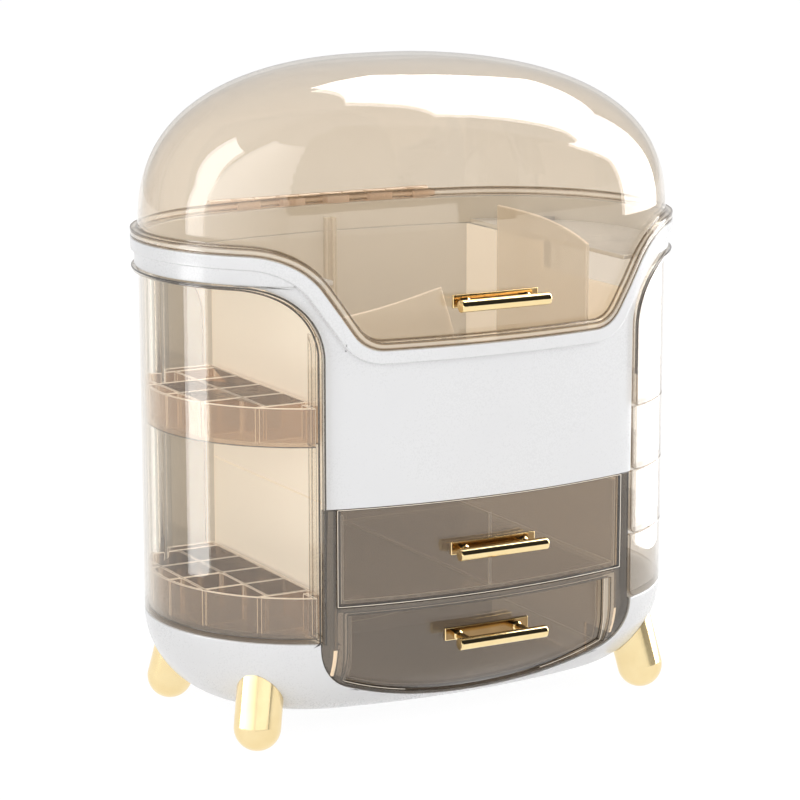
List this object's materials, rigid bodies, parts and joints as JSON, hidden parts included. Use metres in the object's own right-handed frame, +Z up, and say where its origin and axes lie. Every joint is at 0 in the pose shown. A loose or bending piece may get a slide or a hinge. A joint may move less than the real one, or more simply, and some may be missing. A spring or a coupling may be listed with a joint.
{
  "type": "makeup organizer",
  "caption": "Oval dustproof cosmetics cabinet on splayed feet with a hinged clear dome lid, front drawers, a swing-out door pod and swing-out side trays.",
  "frame": {"origin": "on the ground under the centre of the cabinet's oval", "axes": "+X to the cabinet's right seen from the front, +Y to its back, +Z up"},
  "size_m": [0.308, 0.2117, 0.3521],
  "materials": {
    "white_plastic": "glossy moulded plastic",
    "smoke_plastic": "clear smoke plastic",
    "clear_plastic": "clear pale amber plastic",
    "amber_dome": "clear amber plastic",
    "rack_plastic": "clear brown plastic",
    "gold_foot": "satin gold coating",
    "gold_metal": "polished gold plating",
    "steel": "bright steel"
  },
  "bodies": {
    "cabinet": {"base_bowl": "white_plastic", "front_left_foot": "gold_foot", "front_right_foot": "gold_foot", "rear_left_foot": "gold_foot", "rear_right_foot": "gold_foot", "foot_screws": "steel", "drawer_cabinet": "smoke_plastic", "drawer_shelf": "smoke_plastic", "upper_shell": "white_plastic", "shoulder_decks": "white_plastic", "rear_shell": "white_plastic", "top_bin": "clear_plastic", "tall_divider": "clear_plastic", "low_divider": "clear_plastic", "left_pivot_pin": "steel", "right_pivot_pin": "steel", "hinge_bracket": "smoke_plastic", "hinge_pin": "steel"},
    "lid": {"lid_dome": "amber_dome", "lid_hinge_leaf": "smoke_plastic", "lid_handle_plate": "gold_metal", "lid_handle_bar": "gold_metal"},
    "left_pod": {"left_door": "clear_plastic", "left_mid_rack": "rack_plastic", "left_low_rack": "rack_plastic"},
    "side_tray_1": {"right_tray_1": "clear_plastic"},
    "side_tray_2": {"right_tray_2": "clear_plastic"},
    "side_tray_3": {"right_tray_3": "clear_plastic"},
    "side_tray_4": {"right_tray_4": "clear_plastic"},
    "upper_drawer": {"upper_drawer_front": "smoke_plastic", "upper_drawer_tub": "smoke_plastic", "upper_drawer_divider": "smoke_plastic", "upper_handle_plate": "gold_metal", "upper_handle_bar": "gold_metal"},
    "lower_drawer": {"lower_drawer_front": "smoke_plastic", "lower_drawer_tub": "smoke_plastic", "lower_handle_plate": "gold_metal", "lower_handle_bar": "gold_metal"}
  },
  "joints": [
    {"name": "lid_hinge", "type": "hinge", "parent": "cabinet", "child": "lid", "pos_m": [0, 0.1015, 0.26415], "axis": [-1, 0, 0], "range_deg": [0, 95]},
    {"name": "left_pod_swing", "type": "hinge", "parent": "cabinet", "child": "left_pod", "pos_m": [-0.12338, 0.05399, 0.06], "axis": [0, 0, -1], "range_deg": [0, 90]},
    {"name": "side_tray_1_swing", "type": "hinge", "parent": "cabinet", "child": "side_tray_1", "pos_m": [0.12338, 0.05399, 0.06], "axis": [0, 0, 1], "range_deg": [0, 90]},
    {"name": "side_tray_2_swing", "type": "hinge", "parent": "cabinet", "child": "side_tray_2", "pos_m": [0.12338, 0.05399, 0.0958], "axis": [0, 0, 1], "range_deg": [0, 90]},
    {"name": "side_tray_3_swing", "type": "hinge", "parent": "cabinet", "child": "side_tray_3", "pos_m": [0.12338, 0.05399, 0.1312], "axis": [0, 0, 1], "range_deg": [0, 90]},
    {"name": "side_tray_4_swing", "type": "hinge", "parent": "cabinet", "child": "side_tray_4", "pos_m": [0.12338, 0.05399, 0.1666], "axis": [0, 0, 1], "range_deg": [0, 90]},
    {"name": "upper_drawer_slide", "type": "slide", "parent": "cabinet", "child": "upper_drawer", "axis": [0, -1, 0], "range_m": [0, 0.12]},
    {"name": "lower_drawer_slide", "type": "slide", "parent": "cabinet", "child": "lower_drawer", "axis": [0, -1, 0], "range_m": [0, 0.09]}
  ]
}
